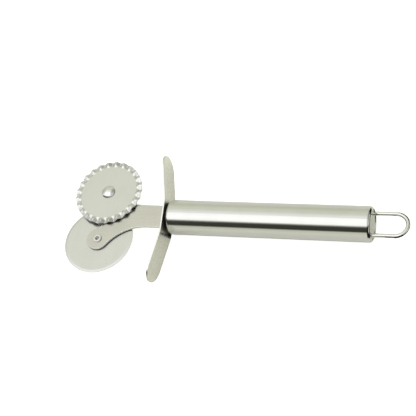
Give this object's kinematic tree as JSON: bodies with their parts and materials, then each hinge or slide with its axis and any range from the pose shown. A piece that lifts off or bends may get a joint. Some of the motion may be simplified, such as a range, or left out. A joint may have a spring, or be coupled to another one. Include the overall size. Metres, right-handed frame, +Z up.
{
  "type": "double pastry cutter wheel",
  "caption": "Hand pastry cutter: a fluted and a plain steel wheel on a forked plate, with a finger guard, a round steel tube handle and a wire hanging loop.",
  "frame": {"origin": "centre of the bottom of the object's box, on the surface it lies on; the handle's axis is 9.2 mm above it and 1 mm to its +Y side", "axes": "+X along the handle from the wheels to the hanging loop; +Y along the finger guard, on the fluted wheel's side; +Z up from the surface"},
  "size_m": [0.186, 0.0696, 0.0184],
  "materials": {
    "tube_steel": "polished, fine lengthwise grain",
    "cap_steel": "turned, satin",
    "plate_steel": "stamped sheet, satin",
    "guard_steel": "stamped sheet, satin",
    "wheel_steel": "stamped sheet, satin, ground edge",
    "rivet_steel": "polished",
    "spacer_steel": "plain sheet",
    "wire_steel": "drawn and polished",
    "inner_steel": "plain sheet",
    "front_cap_plastic": "moulded, black",
    "plug_plastic": "moulded"
  },
  "bodies": {
    "holder": {"handle_tube": "tube_steel", "front_cap": "front_cap_plastic", "rear_cap": "cap_steel", "fork_plate": "plate_steel", "finger_guard": "guard_steel", "fluted_rivet": "rivet_steel", "plain_rivet": "rivet_steel", "fluted_spacer": "spacer_steel", "plain_spacer": "spacer_steel", "hanging_loop": "wire_steel", "loop_anchor": "inner_steel", "tang_plug": "plug_plastic"},
    "fluted_roller": {"fluted_wheel": "wheel_steel"},
    "plain_roller": {"plain_wheel": "wheel_steel"}
  },
  "joints": [
    {"name": "fluted_spin", "type": "hinge", "parent": "holder", "child": "fluted_roller", "pos_m": [-0.0735, 0.0141, 0.00822], "axis": [0, 0.2181, 0.9759], "continuous": true},
    {"name": "plain_spin", "type": "hinge", "parent": "holder", "child": "plain_roller", "pos_m": [-0.0735, -0.0139, 0.0113], "axis": [0, 0.2181, 0.9759], "continuous": true}
  ]
}
